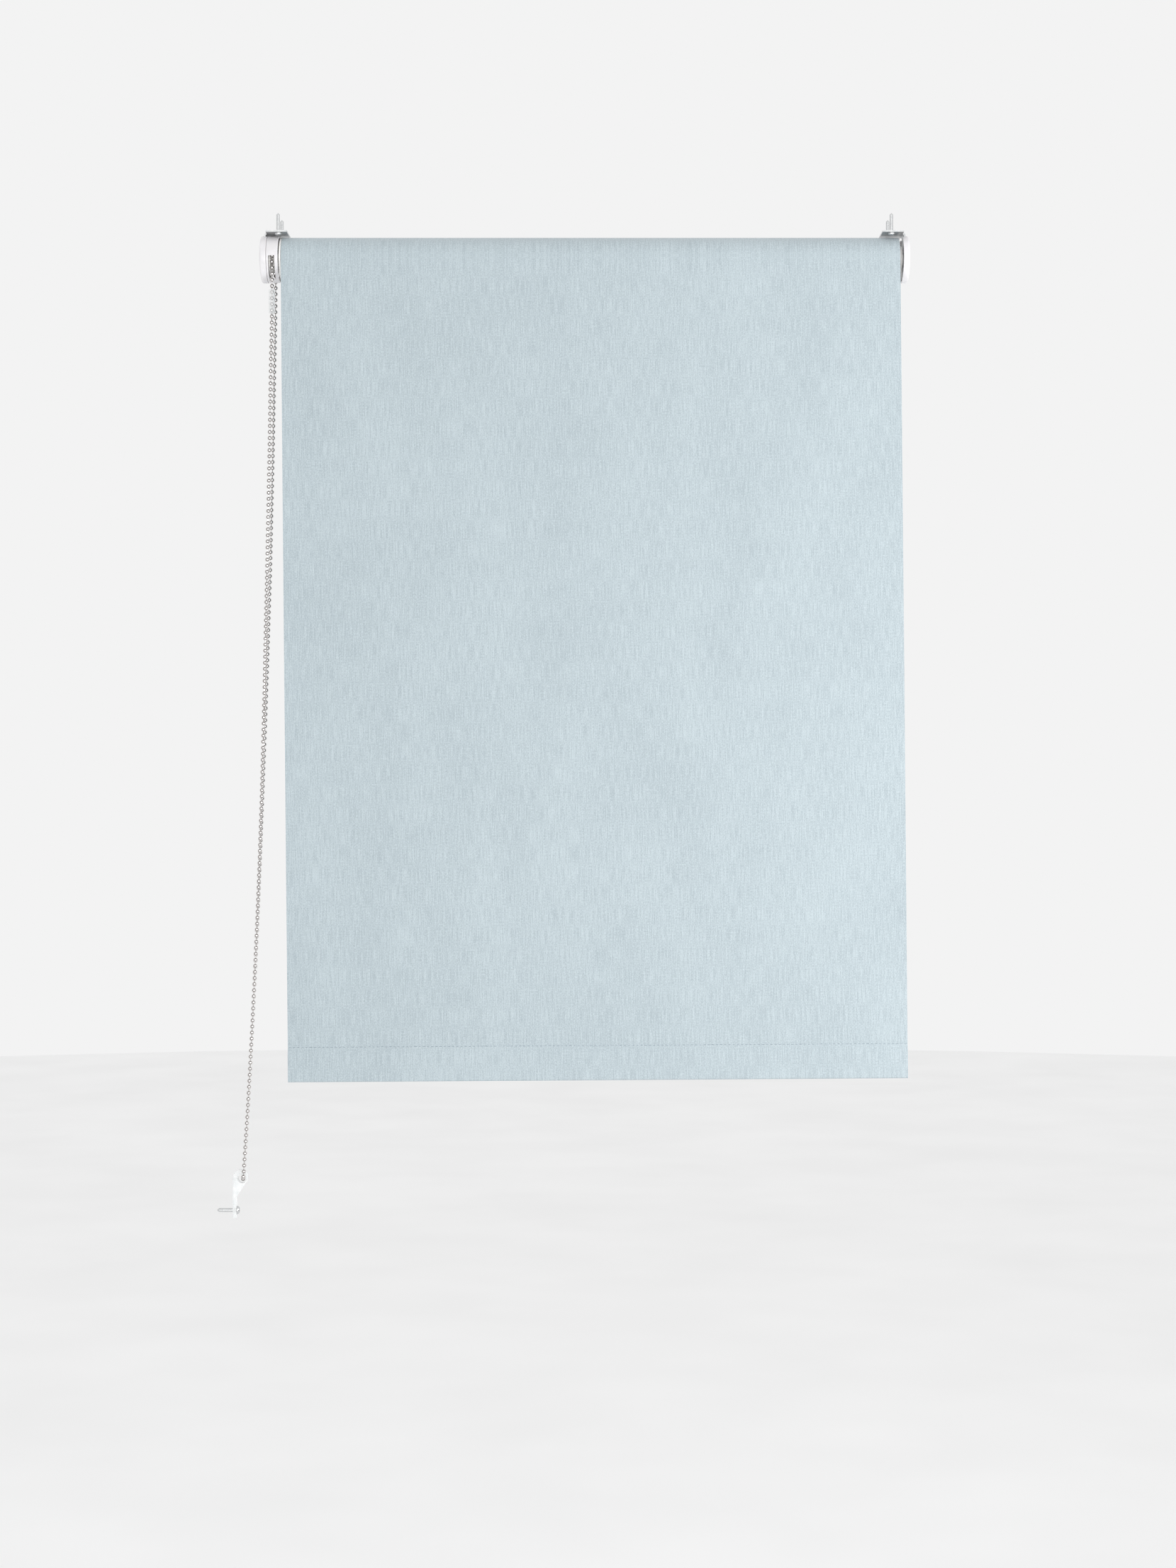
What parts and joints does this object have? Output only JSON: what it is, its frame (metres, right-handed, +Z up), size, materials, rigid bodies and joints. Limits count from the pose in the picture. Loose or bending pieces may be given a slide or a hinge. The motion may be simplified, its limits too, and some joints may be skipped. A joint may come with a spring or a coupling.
{
  "type": "roller blind",
  "caption": "Chain-operated roller blind on end brackets: woven cloth on an aluminium tube, weighted hem, steel bead chain with a wall-fixed tensioner clip.",
  "frame": {"origin": "midway between the two end brackets, in the plane of their top faces, straight above the roller's axis", "axes": "+X along the roller to the right as seen from the room, +Y towards the window, +Z up"},
  "size_m": [0.6869, 0.0465, 0.9952],
  "materials": {
    "white_plastic": "satin white moulding",
    "white_nylon": "matt white nylon",
    "zinc_steel": "bright zinc plate",
    "screw_steel": "bright zinc plate",
    "spring_steel": "drawn wire",
    "nickel_chain": "polished nickel plate",
    "aluminium_tube": "mill finish",
    "clear_plastic": "clear moulding",
    "blind_cloth": "slub linen weave, duck-egg blue"
  },
  "bodies": {
    "brackets": {"control_bracket": "zinc_steel", "idler_bracket": "zinc_steel", "control_cover": "white_plastic", "idler_cover": "white_plastic", "control_head_screw_1": "screw_steel", "control_head_screw_2": "screw_steel", "idler_head_screw_1": "screw_steel", "idler_head_screw_2": "screw_steel", "clutch_housing": "white_plastic", "clutch_spindle": "white_nylon", "retaining_ring": "spring_steel", "idler_bush": "white_nylon", "bead_chain": "nickel_chain", "chain_connector": "clear_plastic", "tensioner_clip": "clear_plastic", "tensioner_screw": "screw_steel", "fabric_drop": "blind_cloth"},
    "roller": {"drive_crown": "white_nylon", "wrap_spring_1": "spring_steel", "wrap_spring_2": "spring_steel", "roller_tube": "aluminium_tube", "fabric_spline": "white_plastic", "fabric_roll": "blind_cloth", "idler_plug": "white_nylon", "idler_spring": "spring_steel"},
    "chain_drive": {"chain_wheel": "white_nylon"},
    "hem": {"hem_pocket": "blind_cloth", "bottom_lath": "white_plastic"},
    "idler_pin": {"idler_pin": "spring_steel"}
  },
  "joints": [
    {"name": "roller_turn", "type": "hinge", "parent": "brackets", "child": "roller", "pos_m": [0, 0, -0.025], "axis": [1, 0, 0], "range_deg": [-1980, 0]},
    {"name": "chain_wheel_turn", "type": "hinge", "parent": "brackets", "child": "chain_drive", "pos_m": [-0.309, 0, -0.025], "axis": [1, 0, 0], "range_deg": [-1980, 0]},
    {"name": "hem_lift", "type": "slide", "parent": "brackets", "child": "hem", "axis": [0, 0, 1], "range_m": [0, 0.75], "deforming": ["fabric_drop"]},
    {"name": "idler_pin_slide", "type": "slide", "parent": "roller", "child": "idler_pin", "axis": [1, 0, 0], "range_m": [-0.006, 0], "stiffness_N_per_m": 300, "springref_m": 0.01, "deforming": ["idler_spring"]}
  ],
  "couplings": [
    {"joint": "chain_wheel_turn", "follows": "roller_turn", "ratio": 1},
    {"joint": "hem_lift", "follows": "roller_turn", "m_per_rad": -0.021703}
  ]
}
